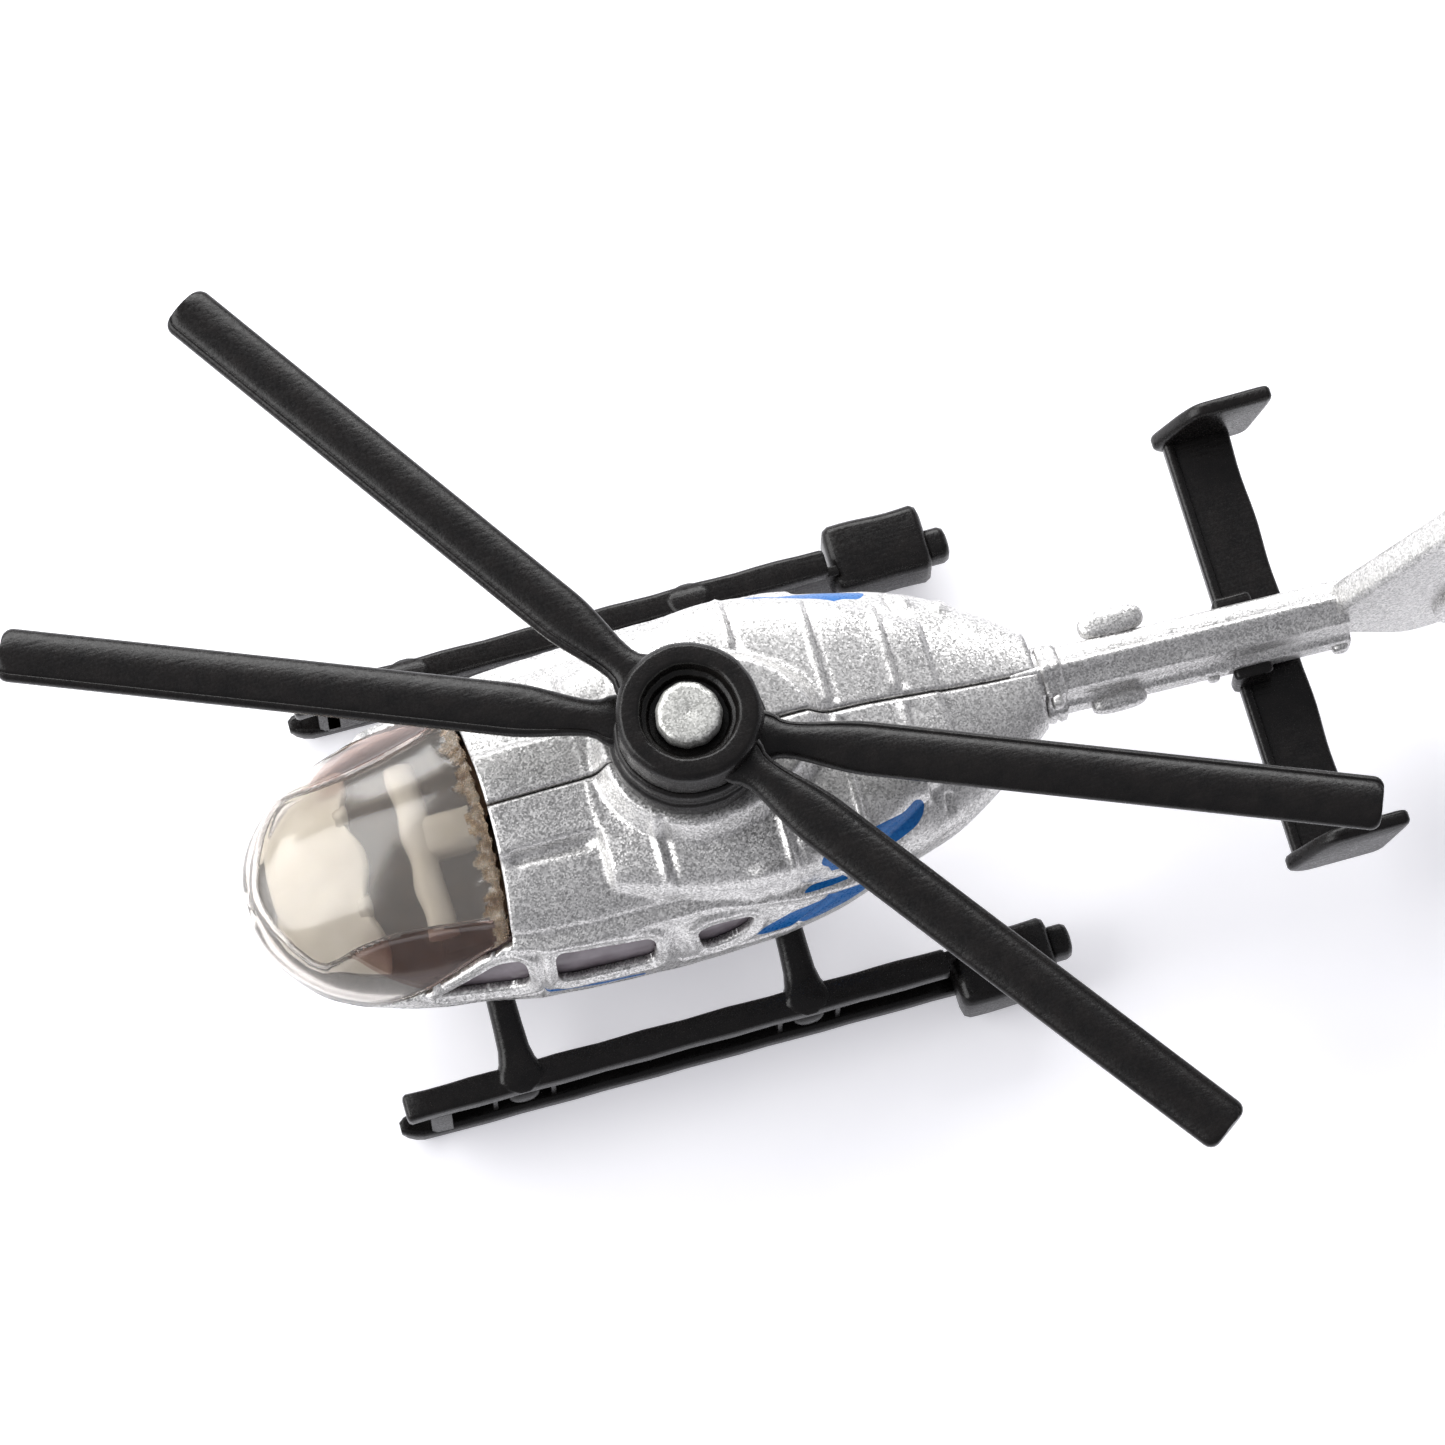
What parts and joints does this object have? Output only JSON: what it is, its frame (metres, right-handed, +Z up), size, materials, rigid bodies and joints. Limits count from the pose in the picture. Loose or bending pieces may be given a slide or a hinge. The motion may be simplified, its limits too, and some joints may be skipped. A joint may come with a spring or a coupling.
{
  "type": "toy helicopter",
  "caption": "Small die-cast toy helicopter with a clear tinted nose, two stacked free-turning rotors on one mast, moulded skids and a tailplane.",
  "frame": {"origin": "middle of the whole part's length and width, on the ground under the skids", "axes": "+X towards the nose, +Y to port, +Z up"},
  "size_m": [0.0862, 0.0623, 0.024],
  "materials": {
    "silver_paint": "coarse metallic flake paint on a zinc casting",
    "smoke_clear": "clear polystyrene tinted smoke brown",
    "window_clear": "clear polystyrene tinted smoke",
    "cabin_plastic": "pale moulded plastic",
    "mast_metal": "silver painted pin with a riveted head",
    "rotor_plastic": "black moulded plastic, half gloss with fine scratches",
    "black_plastic": "black moulded plastic, half gloss",
    "rivet_metal": "silver painted rivet"
  },
  "bodies": {
    "airframe": {"body_port": "silver_paint", "body_starboard": "silver_paint", "canopy": "smoke_clear", "side_windows_port": "window_clear", "side_windows_starboard": "window_clear", "cabin_interior": "cabin_plastic", "rotor_mast": "mast_metal", "skid_port": "black_plastic", "skid_starboard": "black_plastic", "belly_plate": "black_plastic", "stabilizer": "black_plastic", "assembly_rivets": "rivet_metal"},
    "lower_rotor": {"lower_rotor": "rotor_plastic"},
    "upper_rotor": {"upper_rotor": "rotor_plastic"}
  },
  "joints": [
    {"name": "lower_rotor_spin", "type": "hinge", "parent": "airframe", "child": "lower_rotor", "pos_m": [0.00738, 0, 0.02], "axis": [0, 0, 1], "continuous": true},
    {"name": "upper_rotor_spin", "type": "hinge", "parent": "airframe", "child": "upper_rotor", "pos_m": [0.00738, 0, 0.0227], "axis": [0, 0, 1], "continuous": true}
  ]
}
